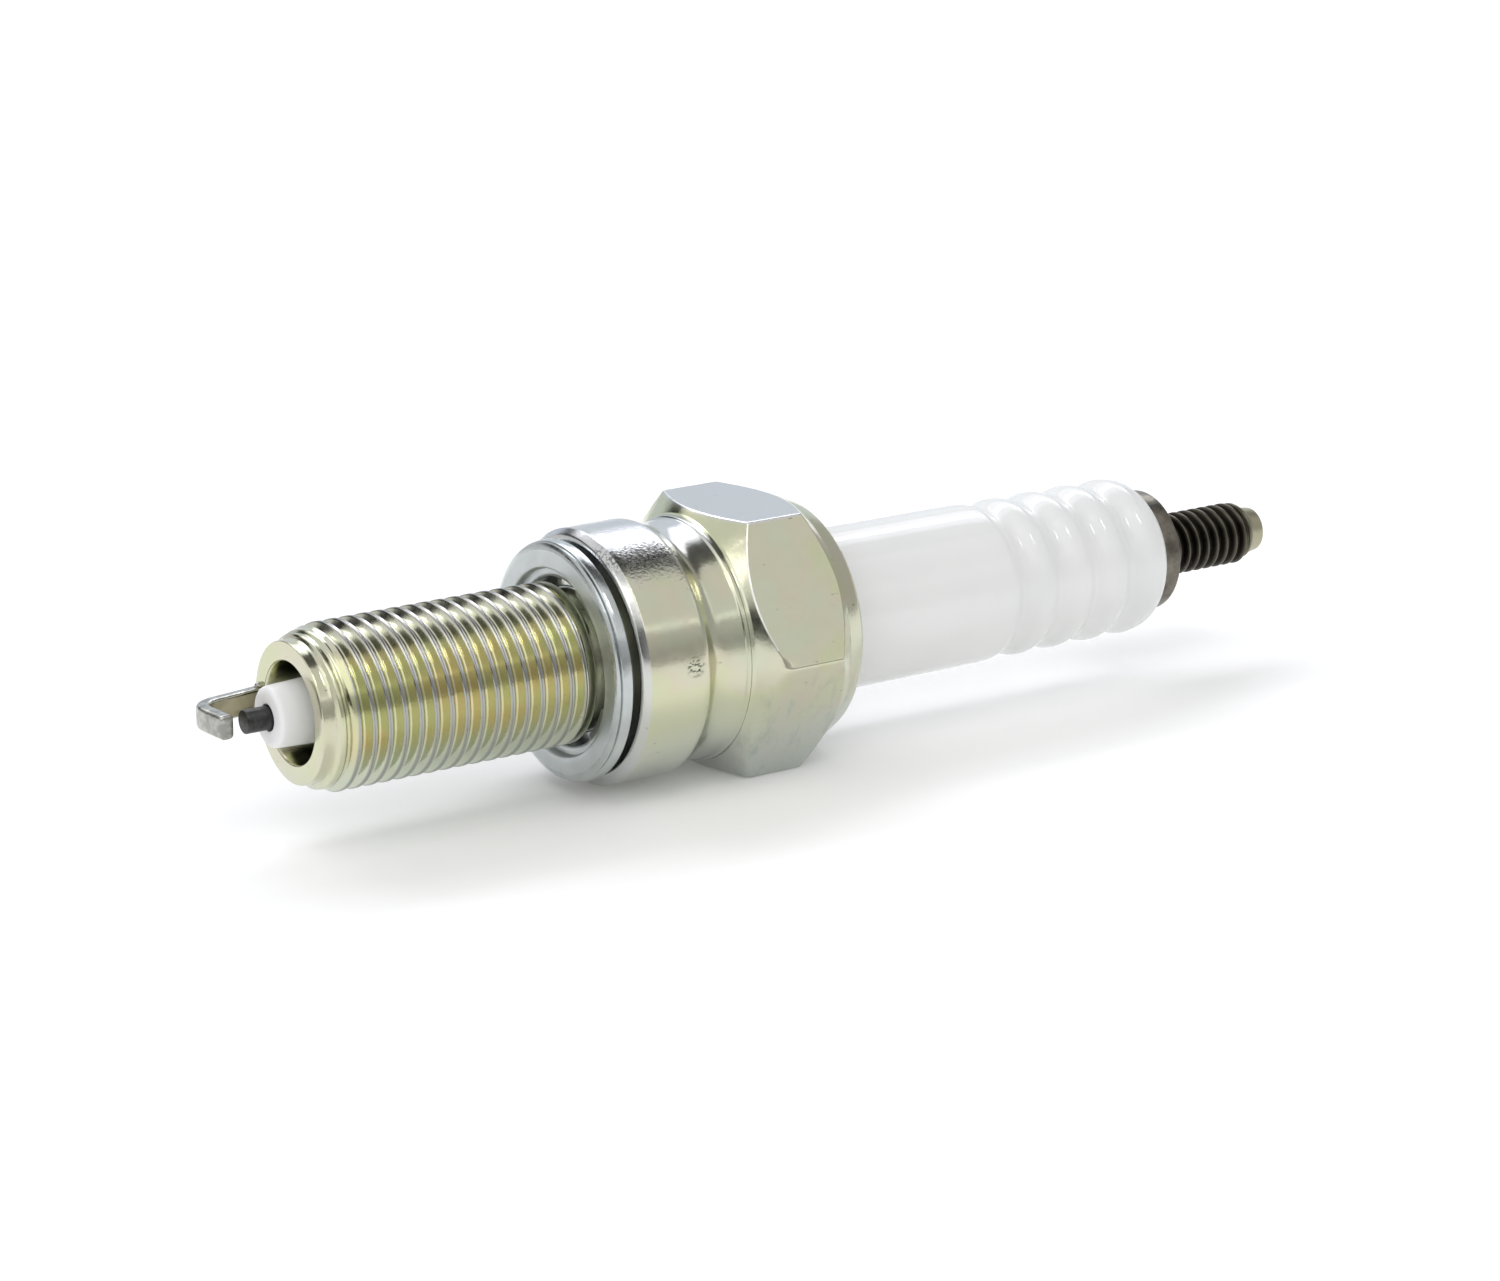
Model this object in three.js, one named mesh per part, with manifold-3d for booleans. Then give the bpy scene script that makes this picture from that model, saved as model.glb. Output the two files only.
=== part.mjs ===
// A small-thread spark plug for a motorcycle engine, built piece by piece.
// Millimetres. X runs along the plug's axis, from the electrodes (-X) to the terminal (+X).
// X = 0 is the flat seat at the front of the collar, +Z is up, and one flat of the hexagon faces down.
// The lengths below are measured from the collar's front corner, and the finished plug is moved by -SEAT_X.
import * as THREE from "three";
import { mergeVertices } from "three/addons/utils/BufferGeometryUtils.js";
import Module from "manifold-3d";

const wasm = await Module();
wasm.setup();

// ---- Driving dimensions ----
const SIDES = 28; // facets round the large turned pieces
const SMALL_SIDES = 20; // facets round the thin inner pieces

const NOSE_X = -19.45; // end face of the threaded barrel
const SEAT_X = -0.35; // the flat seat, in front of the collar's rounded corner
const PILOT_R = 4.2;
const NOSE_BORE_R = 3.0;
const MAIN_BORE_R = 3.7;
const CAVITY_R = 6.15; // wide bore inside the hexagon
const LIP_R = 5.45; // inner edge of the rolled rim
const LAND_R = 4.9; // plain end of the thread
const LAND_END_X = -1.9;
const SHANK_R = 4.3; // relief behind the land, where the gasket hangs
const COLLAR_R = 7.82;
const COLLAR_BACK_X = 4.0;
const NECK_R = 7.2;
const BEAD_R = 7.5;
const HEX_FLATS = 16;
const HEX_CORNERS = HEX_FLATS / Math.cos(Math.PI / 6);
const RIM_X = 15.75; // rearmost edge of the rolled rim

const BARREL_THREAD = { pitch: 1.0, root: 4.38, crest: 4.92, crestFlat: 0.14, from: -18.6, to: -2.6, phaseX: -16.03 };
const STUD_THREAD = { pitch: 0.8, root: 1.6, crest: 2.02, crestFlat: 0.12, from: 43.9, to: 51.2, phaseX: 46.62 };
const FLANK_TAN = Math.tan(Math.PI / 6); // half of the 60 degree thread angle
const SUNK = 0.12; // how far the thread's ridge reaches below its root

const NECK_TUBE_R = 5.1; // smooth outside part of the insulator
const BODY_R = 5.75; // widest part of the insulator, inside the hexagon
const TUBE_R = 3.4; // part of the insulator inside the thread
const TIP_X = -20.85; // end of the insulator's nose
const INSULATOR_END_X = 41.65;
const RIB_COUNT = 4;
const RIB_PITCH = 2.87;
const FIRST_GROOVE_X = 30.0;
const GROOVE_DEPTH = 0.45;
const CORE_BORE_R = 1.65;
const NOSE_HOLE_R = 0.8;

const ELECTRODE_R = 0.7;
const ELECTRODE_TIP_X = -22.35;
const SPARK_GAP = 0.8;
const STRAP_THICKNESS = 0.85;
const STRAP_WIDTH = 1.45;
const STRAP_END_Y = -0.45; // the strap reaches just past the centre electrode's axis
const STRAP_ROOT_Y = 3.95; // outer face of the strap where it is welded on
const STRAP_SPLAY = 0.09; // the arm across the axis leans out this much per millimetre
const STRAP_BEND = 1.2;
const WELD_GAP = 0.05;

const SEAL_R = 1.57;
const FLANGE_R = 3.92;
const FLANGE_FRONT_X = 41.75;
const FLANGE_BACK_X = 43.05;
const STUD_TIP_R = 1.56;
const STUD_END_X = 52.2;

const GASKET_R = 7.3;
const GASKET_LIP_R = 4.78; // inner tabs, smaller than the thread, keep the gasket on the plug
const GASKET_FRONT_X = -1.95;
const GASKET_BACK_X = -0.8;

// ---- Materials ----
const material = (color, metalness, roughness) =>
  new THREE.MeshStandardMaterial({ color, metalness, roughness });

const platedSteel = () => material(0xb9bba0, 1.0, 0.28);
const zinc = () => material(0xb4bac2, 1.0, 0.35);
const nickel = () => material(0x8d8f8b, 1.0, 0.4);
const darkNickel = () => material(0x3c3d3d, 0.9, 0.45);
const darkSteel = () => material(0x4a4641, 1.0, 0.4);
const copper = () => material(0xb87344, 1.0, 0.35);
const glaze = () => material(0xf0f1ef, 0.0, 0.12);
const glass = () => material(0x5c6660, 0.1, 0.2);
const carbon = () => material(0x2b2b2c, 0.0, 0.8);
const powder = () => material(0xd9d6cc, 0.0, 0.95);

// ---- Shape helpers ----
function solid(geometry) {
  geometry.deleteAttribute("normal");
  geometry.deleteAttribute("uv");
  const merged = mergeVertices(geometry, 1e-4);
  return new wasm.Manifold(
    new wasm.Mesh({
      numProp: 3,
      vertProperties: merged.attributes.position.array,
      triVerts: new Uint32Array(merged.index.array),
    }),
  );
}

function geometryOf(manifold) {
  const { vertProperties, triVerts } = manifold.getMesh();
  const geometry = new THREE.BufferGeometry();
  geometry.setAttribute("position", new THREE.BufferAttribute(vertProperties, 3));
  geometry.setIndex(new THREE.BufferAttribute(triVerts, 1));
  geometry.computeVertexNormals();
  return geometry;
}

// Turns a profile of [x, radius] points about the X axis. The outside is listed from -X to +X.
function turned(profile, sides = SIDES) {
  const points = profile.map(([x, radius]) => new THREE.Vector2(radius, x));
  return new THREE.LatheGeometry(points, sides).rotateZ(-Math.PI / 2);
}

// A ring is a profile that closes on itself instead of on the axis.
const ring = (profile, sides = SIDES) => turned([...profile, profile[0]], sides);

// A bar is a plain turned piece between two places on the axis.
const bar = (fromX, toX, radius, sides = SMALL_SIDES) =>
  turned([[fromX, 0], [fromX, radius], [toX, radius], [toX, 0]], sides);

// Points round a corner or a bead, angles in degrees from +X towards the outside.
function arc(x, radius, size, fromDegrees, toDegrees, steps) {
  return Array.from({ length: steps + 1 }, (_, i) => {
    const angle = THREE.MathUtils.degToRad(THREE.MathUtils.lerp(fromDegrees, toDegrees, i / steps));
    return [x + size * Math.cos(angle), radius + size * Math.sin(angle)];
  });
}

// The right-hand helical ridge of a thread, one closed strip with a flat at each end.
function ridge({ pitch, root, crest, crestFlat, from, to, phaseX }, sides) {
  const low = root - SUNK;
  const halfCrest = crestFlat / 2;
  const halfLow = halfCrest + (crest - low) * FLANK_TAN;
  const section = [[-halfLow, low], [-halfCrest, crest], [halfCrest, crest], [halfLow, low]];
  const first = Math.floor(((from - phaseX) / pitch - 1) * sides);
  const last = Math.ceil(((to - phaseX) / pitch + 1) * sides);
  const positions = [];
  const indices = [];
  for (let step = first; step <= last; step++) {
    const turn = step / sides;
    const angle = turn * 2 * Math.PI;
    for (const [dx, radius] of section) {
      positions.push(phaseX + turn * pitch + dx, radius * Math.cos(angle), radius * Math.sin(angle));
    }
  }
  const count = last - first;
  for (let step = 0; step < count; step++) {
    for (let corner = 0; corner < 4; corner++) {
      const a = step * 4 + corner;
      const b = step * 4 + ((corner + 1) % 4);
      indices.push(a, a + 4, b, b, a + 4, b + 4);
    }
  }
  const end = count * 4;
  indices.push(0, 1, 2, 0, 2, 3);
  indices.push(end, end + 2, end + 1, end, end + 3, end + 2);
  const geometry = new THREE.BufferGeometry();
  geometry.setAttribute("position", new THREE.Float32BufferAttribute(positions, 3));
  geometry.setIndex(indices);
  return solid(geometry);
}

// Trims a ridge to its threaded length, with a sloped lead-in at the start and run-out at the end.
function trimmedRidge(thread, sides) {
  const slope = thread.crest - thread.root + 0.1;
  const clear = thread.crest + 0.01;
  const low = thread.root - SUNK - 0.1;
  const envelope = turned(
    [
      [thread.from - 0.1, 0],
      [thread.from - 0.1, low],
      [thread.from + slope, clear],
      [thread.to - slope, clear],
      [thread.to + 0.1, low],
      [thread.to + 0.1, 0],
    ],
    sides,
  );
  return ridge(thread, sides).intersect(solid(envelope));
}

// ---- Pieces ----
function metalShell() {
  const t = BARREL_THREAD;
  const blank = solid(
    turned([
      [NOSE_X, 0],
      [NOSE_X, PILOT_R - 0.12],
      [NOSE_X + 0.12, PILOT_R],
      [t.from, PILOT_R],
      [t.from + 0.3, t.root],
      [LAND_END_X - 1.1, t.root],
      [LAND_END_X - 0.8, LAND_R],
      [LAND_END_X - 0.1, LAND_R],
      [LAND_END_X, LAND_R - 0.1],
      [LAND_END_X + 0.1, SHANK_R],
      [SEAT_X - 0.2, SHANK_R],
      [SEAT_X, SHANK_R + 0.2],
      [SEAT_X, 7.15],
      [-0.12, 7.6],
      [0.08, COLLAR_R - 0.06],
      [COLLAR_BACK_X, COLLAR_R],
      [COLLAR_BACK_X + 0.6, NECK_R + 0.25],
      [5.3, NECK_R],
      [6.3, NECK_R + 0.05],
      [6.95, BEAD_R],
      [7.35, BEAD_R],
      [8.85, HEX_CORNERS / 2],
      [12.65, HEX_CORNERS / 2],
      [13.75, HEX_FLATS / 2],
      [14.6, 7.66],
      ...arc(15.15, 6.75, 0.6, 70, 0, 4),
      [RIM_X, LIP_R],
      [RIM_X, 0],
    ]),
  );
  const hexagon = solid(
    new THREE.CylinderGeometry(HEX_CORNERS / 2, HEX_CORNERS / 2, 80, 6)
      .rotateZ(-Math.PI / 2)
      .rotateX(Math.PI / 6),
  );
  const bore = solid(
    turned([
      [NOSE_X - 1, 0],
      [NOSE_X - 1, NOSE_BORE_R + 0.1],
      [NOSE_X, NOSE_BORE_R + 0.1],
      [NOSE_X + 0.15, NOSE_BORE_R],
      [-7.9, NOSE_BORE_R],
      [-7.2, MAIN_BORE_R],
      [0.6, MAIN_BORE_R],
      [3.05, CAVITY_R],
      [14.5, CAVITY_R],
      [15.1, LIP_R],
      [RIM_X + 1, LIP_R],
      [RIM_X + 1, 0],
    ]),
  );
  return blank.intersect(hexagon).add(trimmedRidge(t, SIDES)).subtract(bore);
}

// A strap welded to the barrel's end face, leaning in, bent square and ending over the centre electrode.
function groundElectrode() {
  const innerX = ELECTRODE_TIP_X - SPARK_GAP;
  const outerX = innerX - STRAP_THICKNESS;
  const rootX = NOSE_X - WELD_GAP;
  const lean = 0.17;
  const outerY = (x) => STRAP_ROOT_Y + lean * (x - rootX);
  const innerY = (x) => outerY(x) - STRAP_THICKNESS;
  const splayX = (x, y) => x - STRAP_SPLAY * (y - STRAP_END_Y);
  const cornerX = splayX(outerX, outerY(outerX));
  const insideX = splayX(innerX, innerY(innerX));
  const edge = 0.15;
  const outline = new THREE.Shape();
  outline.moveTo(rootX, STRAP_ROOT_Y);
  outline.lineTo(cornerX + STRAP_BEND, outerY(cornerX + STRAP_BEND));
  const bendEndY = outerY(cornerX) - STRAP_BEND;
  outline.quadraticCurveTo(cornerX, outerY(cornerX), splayX(outerX, bendEndY), bendEndY);
  outline.lineTo(outerX, STRAP_END_Y);
  outline.lineTo(innerX, STRAP_END_Y);
  outline.lineTo(splayX(innerX, innerY(insideX) - 0.3), innerY(insideX) - 0.3);
  outline.quadraticCurveTo(insideX, innerY(insideX), insideX + 0.3, innerY(insideX + 0.3));
  outline.lineTo(rootX, innerY(rootX));
  outline.closePath();
  const strap = new THREE.ExtrudeGeometry(outline, {
    depth: STRAP_WIDTH - 2 * edge,
    curveSegments: 6,
    bevelThickness: edge,
    bevelSize: edge,
    bevelOffset: -edge,
    bevelSegments: 2,
  }).translate(0, 0, edge - STRAP_WIDTH / 2);
  const weld = new THREE.SphereGeometry(1, 14, 8).scale(0.5, 0.5, 0.95).translate(rootX, 3.6, 0.05);
  const front = new THREE.BoxGeometry(10, 10, 10).translate(rootX - 5, 3, 0);
  return solid(strap).add(solid(weld)).intersect(solid(front));
}

// A crush gasket folded from one strip: two folds show at the rim and thin tabs reach in behind the thread.
function seatGasket() {
  const front = GASKET_FRONT_X;
  const back = GASKET_BACK_X;
  return ring([
    [-1.36, GASKET_LIP_R],
    [-1.52, 5.1],
    [-1.5, 5.66],
    [-1.65, 5.78],
    [front + 0.08, 5.95],
    [front, 6.2],
    [front, 6.75],
    [front + 0.1, 6.98],
    [front + 0.27, 7.16],
    [front + 0.34, 7.12],
    [front + 0.45, GASKET_R - 0.04],
    [front + 0.6, GASKET_R],
    [back - 0.2, GASKET_R],
    [back - 0.06, 7.18],
    [back, 7.0],
    [back, 5.4],
    [-0.95, 5.1],
    [-1.1, GASKET_LIP_R],
  ]);
}

// Rounded ribs on the insulator, a cosine wave that starts and ends on a crest.
function ribProfile() {
  const stepsPerRib = 6;
  const startX = FIRST_GROOVE_X - RIB_PITCH / 2;
  return Array.from({ length: RIB_COUNT * stepsPerRib + 1 }, (_, i) => {
    const turn = i / stepsPerRib;
    const depth = (GROOVE_DEPTH * (1 - Math.cos(turn * 2 * Math.PI))) / 2;
    return [startX + turn * RIB_PITCH, NECK_TUBE_R - 0.06 - depth];
  });
}

function insulator() {
  return ring([
    [TIP_X, NOSE_HOLE_R],
    [TIP_X, 1.42],
    [TIP_X + 0.1, 1.66],
    [TIP_X + 0.35, 1.8],
    [-9.0, 2.3],
    [-7.75, 2.44],
    [-6.79, TUBE_R],
    [1.2, TUBE_R],
    [3.55, BODY_R],
    [9.6, BODY_R],
    [10.3, NECK_TUBE_R],
    ...ribProfile(),
    [40.75, 4.78],
    [41.35, 4.45],
    [INSULATOR_END_X, 4.15],
    [INSULATOR_END_X, CORE_BORE_R],
    [-7.6, CORE_BORE_R],
    [-8.2, NOSE_HOLE_R],
  ]);
}

// A nickel cup with a head that rests on the insulator's inner shoulder.
function centerElectrodeSheath() {
  return turned(
    [
      [ELECTRODE_TIP_X, 0],
      [ELECTRODE_TIP_X, ELECTRODE_R - 0.06],
      [ELECTRODE_TIP_X + 0.06, ELECTRODE_R],
      [-8.1, ELECTRODE_R],
      [-7.55, 1.5],
      [-6.6, 1.5],
      [-6.6, 0.42],
      [-20.6, 0.42],
      [-20.6, 0],
    ],
    SMALL_SIDES,
  );
}

// The upper seal is a cup round the roughened end of the terminal's rod.
function upperGlassSeal() {
  return turned([[4.3, 0], [4.3, SEAL_R], [8.6, SEAL_R], [8.6, 1.2], [5.6, 1.2], [5.6, 0]], SMALL_SIDES);
}

function terminalStud() {
  const t = STUD_THREAD;
  const blank = turned(
    [
      [5.7, 0],
      [5.7, 1.1],
      [8.7, 1.1],
      [9.1, 1.5],
      [FLANGE_FRONT_X, 1.5],
      [FLANGE_FRONT_X, FLANGE_R - 0.08],
      [FLANGE_FRONT_X + 0.08, FLANGE_R],
      [FLANGE_BACK_X - 0.1, FLANGE_R],
      [FLANGE_BACK_X, FLANGE_R - 0.1],
      [FLANGE_BACK_X, t.root + 0.1],
      [t.from, t.root],
      [t.to, STUD_TIP_R],
      [STUD_END_X - 0.1, STUD_TIP_R - 0.12],
      [STUD_END_X, STUD_TIP_R - 0.22],
      [STUD_END_X, 0],
    ],
    SMALL_SIDES,
  );
  return solid(blank).add(trimmedRidge(t, SMALL_SIDES));
}

const seatPacking = () => ring([[-7.8, 2.96], [-7.2, 3.56], [-6.97, 3.36], [-7.57, 2.76]]);
const packingRing = () => ring(arc(0, 5.68, 0.36, 180, -180, 8).slice(0, -1));
const talcPacking = () => ring([[10.95, 6.07], [13.35, 6.07], [13.35, 5.22], [10.95, 5.22]]);

// ---- Assembly ----
function piece(name, geometry, look, x = 0) {
  const mesh = new THREE.Mesh(geometry, look);
  mesh.name = name;
  mesh.position.x = x;
  return mesh;
}

const shellGroup = new THREE.Group();
shellGroup.add(
  piece("metal_shell", geometryOf(metalShell()), platedSteel()),
  piece("ground_electrode", geometryOf(groundElectrode()), nickel()),
);

const packingGroup = new THREE.Group();
packingGroup.add(
  piece("seat_packing", seatPacking(), zinc()),
  piece("lower_packing_ring", packingRing(), zinc(), 10.45),
  piece("talc_packing", talcPacking(), powder()),
  piece("upper_packing_ring", packingRing(), zinc(), 13.85),
);

const coreGroup = new THREE.Group();
coreGroup.add(
  piece("insulator", insulator(), glaze()),
  piece("center_electrode_sheath", centerElectrodeSheath(), darkNickel()),
  piece("center_electrode_core", bar(-20.5, -6.7, 0.36), copper()),
  piece("lower_glass_seal", bar(-6.5, -3.2, SEAL_R), glass()),
  piece("resistor_element", bar(-3.1, 4.2, SEAL_R), carbon()),
  piece("upper_glass_seal", upperGlassSeal(), glass()),
  piece("terminal_stud", geometryOf(terminalStud()), darkSteel()),
);

const sparkPlug = new THREE.Group();
sparkPlug.position.x = -SEAT_X;
sparkPlug.add(shellGroup, packingGroup, coreGroup, piece("seat_gasket", seatGasket(), zinc()));

export default sparkPlug;
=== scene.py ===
"""A spark plug lying on a pale floor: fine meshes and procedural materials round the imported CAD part."""

import math

import bmesh
import bpy
import numpy as np
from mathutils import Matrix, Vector, noise


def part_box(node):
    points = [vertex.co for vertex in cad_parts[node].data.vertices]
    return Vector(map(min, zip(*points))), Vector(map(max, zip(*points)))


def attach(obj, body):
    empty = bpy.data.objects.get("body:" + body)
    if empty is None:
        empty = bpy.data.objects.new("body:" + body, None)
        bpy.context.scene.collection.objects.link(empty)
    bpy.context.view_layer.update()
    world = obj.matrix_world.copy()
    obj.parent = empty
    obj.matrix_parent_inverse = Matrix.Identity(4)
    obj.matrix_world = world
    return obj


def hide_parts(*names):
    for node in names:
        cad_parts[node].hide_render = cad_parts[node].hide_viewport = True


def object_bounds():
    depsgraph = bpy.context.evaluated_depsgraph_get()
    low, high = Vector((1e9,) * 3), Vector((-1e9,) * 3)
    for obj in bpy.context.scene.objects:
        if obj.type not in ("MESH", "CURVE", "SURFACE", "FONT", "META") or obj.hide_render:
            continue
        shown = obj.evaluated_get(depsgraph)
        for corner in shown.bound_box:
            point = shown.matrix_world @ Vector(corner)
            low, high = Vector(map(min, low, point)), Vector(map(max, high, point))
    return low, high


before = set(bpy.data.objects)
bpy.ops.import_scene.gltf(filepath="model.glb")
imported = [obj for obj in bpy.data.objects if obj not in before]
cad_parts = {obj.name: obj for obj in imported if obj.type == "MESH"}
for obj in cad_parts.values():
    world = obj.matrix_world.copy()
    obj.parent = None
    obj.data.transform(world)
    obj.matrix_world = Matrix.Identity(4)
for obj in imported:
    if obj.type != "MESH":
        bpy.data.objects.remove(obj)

CAD_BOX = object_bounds()
MM = 0.001
FULL_TURN = 2 * math.pi
MERGE_M = 2e-7


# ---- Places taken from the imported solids, in millimetres ----
def box_mm(node):
    low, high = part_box(node)
    return low / MM, high / MM


SHELL_LOW, SHELL_HIGH = box_mm("metal_shell")
GASKET_LOW, GASKET_HIGH = box_mm("seat_gasket")
INSULATOR_LOW, INSULATOR_HIGH = box_mm("insulator")
SHEATH_LOW, SHEATH_HIGH = box_mm("center_electrode_sheath")
STRAP_LOW, _ = box_mm("ground_electrode")
STUD_LOW, STUD_HIGH = box_mm("terminal_stud")

# Lengths along the axis are measured from the collar's front corner, which lies just behind its seat.
NOSE_X = -19.45
CORNER_X = SHELL_LOW.x - NOSE_X
SEAT_X = -CORNER_X
RIM_X = SHELL_HIGH.x - CORNER_X
GASKET_FRONT_X = GASKET_LOW.x - CORNER_X
GASKET_BACK_X = GASKET_HIGH.x - CORNER_X
INSULATOR_TIP_X = INSULATOR_LOW.x - CORNER_X
INSULATOR_END_X = INSULATOR_HIGH.x - CORNER_X
ELECTRODE_TIP_X = SHEATH_LOW.x - CORNER_X
ELECTRODE_BACK_X = SHEATH_HIGH.x - CORNER_X
STUD_FRONT_X = STUD_LOW.x - CORNER_X
STUD_END_X = STUD_HIGH.x - CORNER_X

# ---- Metal shell ----
BARREL_THREAD = {"pitch": 1.0, "root": 4.4, "crest": 4.92, "start": -18.7, "end": -2.45, "phase": -16.05}
BARREL_CREST_FLAT = 0.24
CREST_SEAM = 0.04  # the groove that thread rolling leaves along the crest
PILOT_R = 4.22
NOSE_BORE_R = 3.0
MAIN_BORE_R = 3.7
CAVITY_R = 6.15
LIP_R = 5.45
LAND_R = 4.9
LAND_END_X = -1.9
SHANK_R = 4.3
COLLAR_R = 7.82
NECK_R = 7.22
BEAD_R = 7.5
FLAT_R = SHELL_HIGH.z
CORNER_RADIUS = 0.22
HEX_FOOT = (7.3, 7.42)  # where the front cone starts
RIM_SHOULDER = (14.6, 7.66)  # where the rear cone turns into the rolled rim

# ---- Insulator, electrodes and terminal ----
NECK_TUBE_R = 5.1
RIB_R = 5.04
RIB_COUNT = 4
RIB_PITCH = 2.87
FIRST_GROOVE_X = 30.0
GROOVE_DEPTH = 0.45
GROOVE_SHARPNESS = 1.2
TUBE_R = 3.4
BODY_R = INSULATOR_HIGH.z
CORE_BORE_R = 1.65
NOSE_HOLE_R = 0.8
NOSE_HOLE_BACK_X = -8.2

ELECTRODE_R = 0.7
ELECTRODE_HEAD_R = SHEATH_HIGH.z
CORE_R = 0.42
CORE_TIP_X = -20.6

STRAP_FRONT_X = -24.0
STRAP_WELD_X = -19.5
STRAP_ROOT_Y = 3.95
STRAP_THICKNESS = 0.85
STRAP_WIDTH = 1.45
STRAP_ROUNDING = 0.27
STRAP_LEAN = 0.17  # how much the long arm leans towards the axis, per millimetre
STRAP_SPLAY = 0.1  # how much the cross arm leans out, per millimetre
STRAP_BEND = 1.2

STUD_THREAD = {"pitch": 0.8, "root": 1.6, "crest": 2.02, "start": 43.9, "end": 51.2, "phase": 46.62}
STUD_CREST_FLAT = 0.14
STUD_ROD_R = 1.5
STUD_TIP_R = 1.58
FLANGE_FRONT_X = 41.75
FLANGE_BACK_X = 43.05

# ---- Camera ----
CAMERA_AZIMUTH = math.radians(-33.968)
CAMERA_ELEVATION = math.radians(16.825)
CAMERA_DISTANCE = 0.240746
CAMERA_AIM = Vector((12.12 + CORNER_X, 0.0, -1.004)) * MM
CAMERA_LENS = 94.41
FLOOR_HALF = 3.0


# ---- Mesh helpers ----
def at(x, radius, angle):
    """A point round the plug's axis; the angle starts at +Y and turns towards +Z."""
    return Vector((x + CORNER_X, radius * math.cos(angle), radius * math.sin(angle))) * MM


def even_angles(count):
    return [FULL_TURN * i / count for i in range(count + 1)]


def hexagon_angles():
    """Columns round the shell, crowded near the hexagon's corners so that those can be rounded."""
    at_corner = [0, 0.4, 0.8, 1.2]
    along_side = [2.5 * step for step in range(1, 13)]
    half = at_corner + along_side
    sector = half + [60 - a for a in reversed(half[1:-1])]
    turn = [60 * side + a for side in range(6) for a in sector]
    return [math.radians(a) for a in turn + [360]]


def rounded(corners, steps=5):
    """A profile through (x, radius, fillet) corners; each fillet is a short curve."""
    points = []
    for i, (x, radius, fillet) in enumerate(corners):
        here = Vector((x, radius))
        if fillet == 0 or i in (0, len(corners) - 1):
            points.append((x, radius))
            continue
        before = Vector(corners[i - 1][:2]) - here
        after = Vector(corners[i + 1][:2]) - here
        reach = min(fillet, 0.49 * before.length, 0.49 * after.length)
        start = here + before.normalized() * reach
        end = here + after.normalized() * reach
        for step in range(steps + 1):
            t = step / steps
            points.append(tuple(start.lerp(here, t).lerp(here.lerp(end, t), t)))
    return points


def split(profile, longest=0.5):
    """The same profile with long stretches divided, so that no quad is very long."""
    points = [profile[0]]
    for a, b in zip(profile, profile[1:]):
        pieces = max(1, math.ceil(math.dist(a, b) / longest))
        for i in range(1, pieces + 1):
            points.append((a[0] + (b[0] - a[0]) * i / pieces, a[1] + (b[1] - a[1]) * i / pieces))
    return points


def revolve(profile, angles):
    return [[at(x, radius, a) for a in angles] for x, radius in profile]


def rows_of_profiles(profiles, angles):
    """Rows for a shape whose profile changes with the angle; every profile has the same number of points."""
    return [[at(x, radius, a) for (x, radius), a in zip(row, angles)] for row in zip(*profiles)]


def thread_rows(thread, envelope, angles, lines):
    """Rows that follow the helix of a right-hand thread and are held between two end planes."""
    pitch = thread["pitch"]
    offsets = [offset for offset, _ in lines]
    radii = [radius for _, radius in lines]
    envelope_x, envelope_r = zip(*envelope)
    first = math.floor((thread["start"] - thread["phase"]) / pitch) - 2
    last = math.ceil((thread["end"] - thread["phase"]) / pitch) + 1
    rows = []
    for turn in range(first, last):
        for offset, radius in zip(offsets, radii):
            row = []
            for angle in angles:
                x = thread["phase"] + (turn + angle / FULL_TURN) * pitch + offset
                x = min(max(x, thread["start"]), thread["end"])
                row.append(at(x, min(radius, np.interp(x, envelope_x, envelope_r)), angle))
            rows.append(row)
    return rows


def thread_lines(thread, crest_flat, seam):
    """Offset and radius of each line across one pitch: two rolled lips, a seam, flanks and a rounded root."""
    root, crest, half = thread["root"], thread["crest"], thread["pitch"] / 2
    edge = crest_flat / 2
    foot = min(edge + (crest - root) * math.tan(math.radians(30)), half - 0.04)
    side = [
        (0, crest - seam),
        (edge * 0.22, crest - seam * 0.75),
        (edge * 0.45, crest - seam * 0.15),
        (edge * 0.65, crest),
        (edge * 0.85, crest - 0.012),
        (edge + 0.01, crest - 0.04),
        (edge + 0.04, crest - 0.1),
        (edge + (foot - edge) * 0.5, crest + (root - crest) * 0.5),
        (foot - 0.06, root + 0.1),
        (foot - 0.015, root + 0.04),
        (foot + 0.03, root + 0.01),
    ]
    left = [(-offset, radius) for offset, radius in reversed(side[1:])]
    return left + side + [(half, root)]


def mesh_from_grids(name, grids, caps=()):
    """One object from grids of points. Points that meet are merged, so the grids join into one skin."""
    bm = bmesh.new()
    for rows in grids:
        made = [[bm.verts.new(p) for p in row] for row in rows]
        for low, high in zip(made, made[1:]):
            for i in range(len(low) - 1):
                bm.faces.new((low[i], low[i + 1], high[i + 1], high[i]))
    for row in caps:
        ring = [bm.verts.new(p) for p in row[:-1]]
        middle = bm.verts.new(sum(row[:-1], Vector()) / len(ring))
        for i, corner in enumerate(ring):
            bm.faces.new((corner, ring[(i + 1) % len(ring)], middle))
    bmesh.ops.remove_doubles(bm, verts=bm.verts, dist=MERGE_M)
    bmesh.ops.dissolve_degenerate(bm, edges=bm.edges, dist=MERGE_M)
    bmesh.ops.recalc_face_normals(bm, faces=bm.faces)
    mesh = bpy.data.meshes.new(name)
    bm.to_mesh(mesh)
    bm.free()
    mesh.shade_smooth()
    obj = bpy.data.objects.new(name, mesh)
    bpy.context.collection.objects.link(obj)
    normals = obj.modifiers.new("weighted_normals", "WEIGHTED_NORMAL")
    normals.keep_sharp = True
    return obj


def finish_piece(obj, material, body, node):
    obj.data.materials.append(material)
    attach(obj, body)
    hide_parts(node)


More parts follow.
